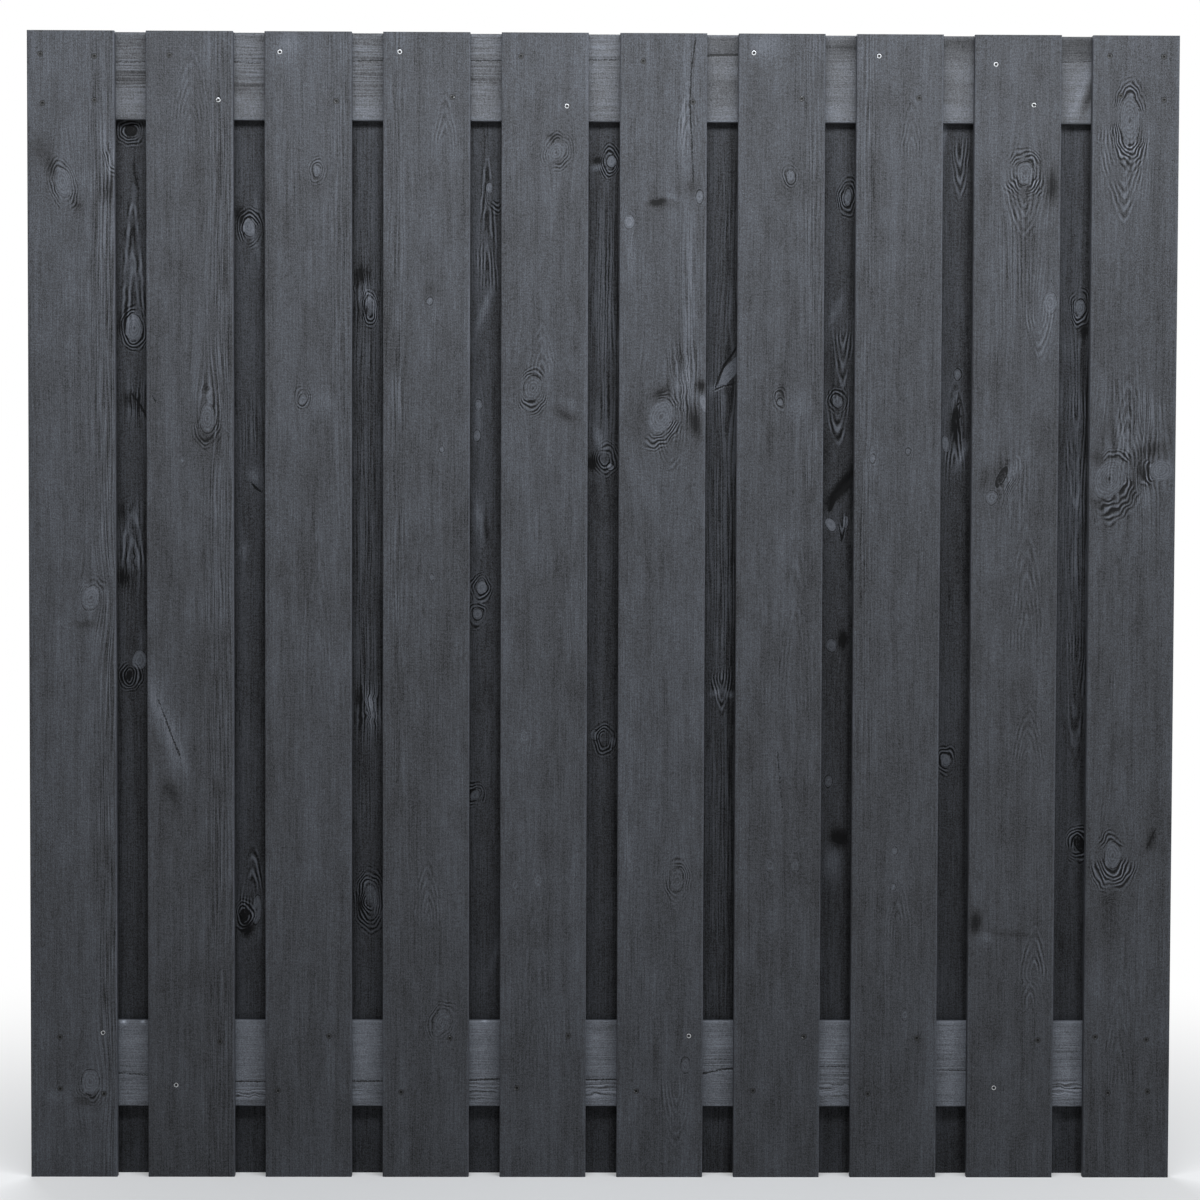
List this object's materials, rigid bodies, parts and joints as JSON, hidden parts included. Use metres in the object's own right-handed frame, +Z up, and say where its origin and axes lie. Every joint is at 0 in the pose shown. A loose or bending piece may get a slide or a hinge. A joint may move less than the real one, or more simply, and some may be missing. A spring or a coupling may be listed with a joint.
{
  "type": "wooden fence panel",
  "caption": "Square close-boarded garden fence panel: upright planed boards on both sides of two horizontal rails, each back board closing a gap, all dark stained and screwed.",
  "frame": {"origin": "centre of the panel's footprint, level with the lower ends of the boards", "axes": "+X along the panel to the right as seen from the front, +Z up, and the front row of boards faces -Y"},
  "size_m": [1.8, 0.045, 1.8],
  "materials": {
    "front_boards": "planed softwood with a thin matt anthracite stain",
    "back_boards": "planed softwood with a thin matt anthracite stain",
    "rails": "planed softwood with a thin matt anthracite stain",
    "screws": "stainless steel, most heads dulled by stain"
  },
  "bodies": {
    "root": {"front_board_01": "front_boards", "front_board_02": "front_boards", "front_board_03": "front_boards", "front_board_04": "front_boards", "front_board_05": "front_boards", "front_board_06": "front_boards", "front_board_07": "front_boards", "front_board_08": "front_boards", "front_board_09": "front_boards", "front_board_10": "front_boards", "back_board_01": "back_boards", "back_board_02": "back_boards", "back_board_03": "back_boards", "back_board_04": "back_boards", "back_board_05": "back_boards", "back_board_06": "back_boards", "back_board_07": "back_boards", "back_board_08": "back_boards", "back_board_09": "back_boards", "top_rail": "rails", "bottom_rail": "rails", "front_screws_top_rail": "screws", "front_screws_bottom_rail": "screws", "back_screws_top_rail": "screws", "back_screws_bottom_rail": "screws"}
  },
  "joints": []
}
